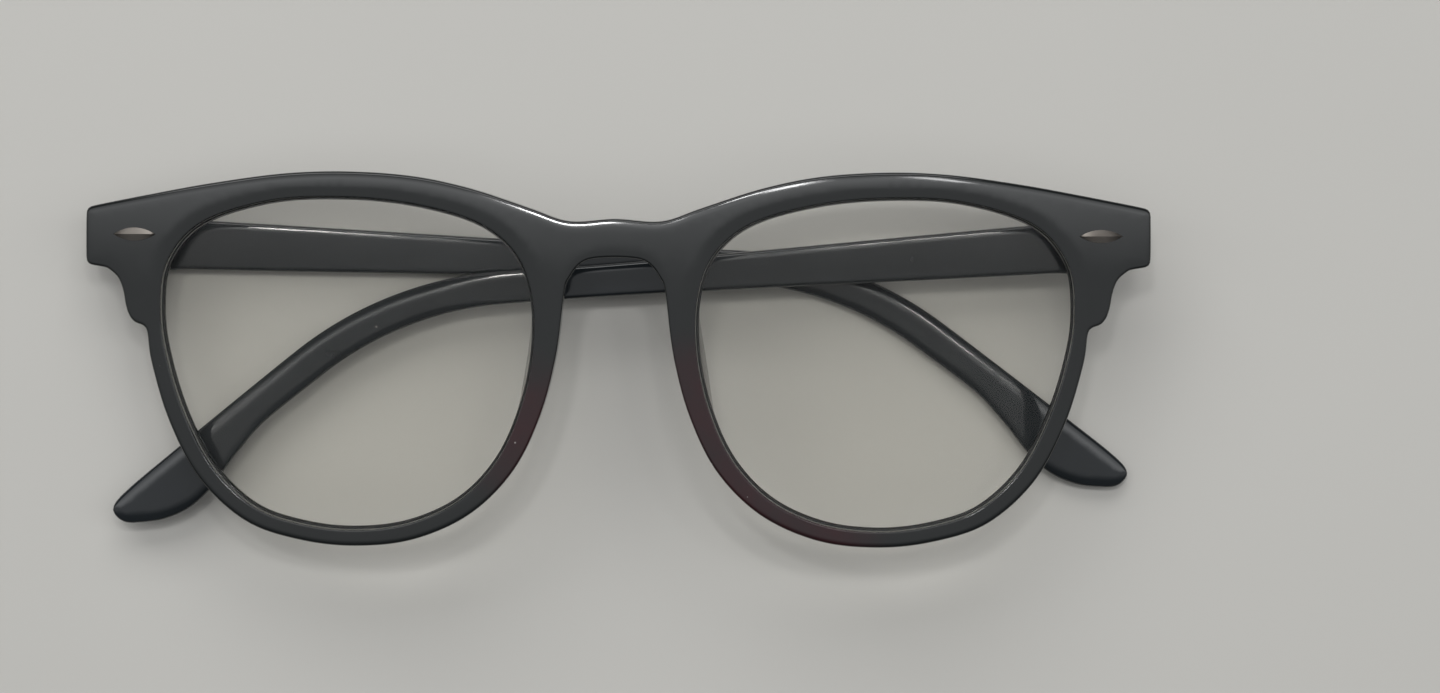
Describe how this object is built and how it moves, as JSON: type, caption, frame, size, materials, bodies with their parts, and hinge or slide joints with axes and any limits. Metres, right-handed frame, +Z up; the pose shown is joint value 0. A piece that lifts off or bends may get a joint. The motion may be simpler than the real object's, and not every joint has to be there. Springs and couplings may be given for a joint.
{
  "type": "blue light glasses",
  "caption": "Full-rim blue light glasses with large rounded-square lenses, a saddle bridge and two hinged temples, folded and lying front-up.",
  "frame": {"origin": "on the table, under the middle of the folded glasses' box", "axes": "+X along the front towards the wearer's left end piece, +Y towards the brow, +Z up from the table, out of the front face"},
  "size_m": [0.1436, 0.0501, 0.0206],
  "materials": {
    "frame_plastic": "polished near-black acetate with a wine-red depth on the nose side of the rims",
    "temple_plastic": "polished blue-black plastic, softly worn",
    "lens_clear": "clear coated lens plastic with a faint warm-grey tint",
    "plaque_metal": "satin nickel plate with a polished ridge",
    "hinge_steel": "fine brushed nickel silver",
    "screw_steel": "turned steel, slotted head",
    "core_wire": "drawn wire"
  },
  "bodies": {
    "front": {"front_frame": "frame_plastic", "lens_left": "lens_clear", "lens_right": "lens_clear", "plaque_left": "plaque_metal", "plaque_right": "plaque_metal", "front_hinge_left": "hinge_steel", "front_hinge_right": "hinge_steel", "hinge_screw_left": "screw_steel", "hinge_screw_right": "screw_steel"},
    "left_temple": {"temple_left": "temple_plastic", "temple_hinge_left": "hinge_steel", "temple_core_left": "core_wire"},
    "right_temple": {"temple_right": "temple_plastic", "temple_hinge_right": "hinge_steel", "temple_core_right": "core_wire"}
  },
  "joints": [
    {"name": "left_temple_fold", "type": "hinge", "parent": "front", "child": "left_temple", "pos_m": [0.06604, 0.01515, 0.00983], "axis": [0, -1, 0], "range_deg": [0, 91.2]},
    {"name": "right_temple_fold", "type": "hinge", "parent": "front", "child": "right_temple", "pos_m": [-0.06587, 0.01515, 0.005], "axis": [0, 1, 0], "range_deg": [0, 87.9]}
  ]
}
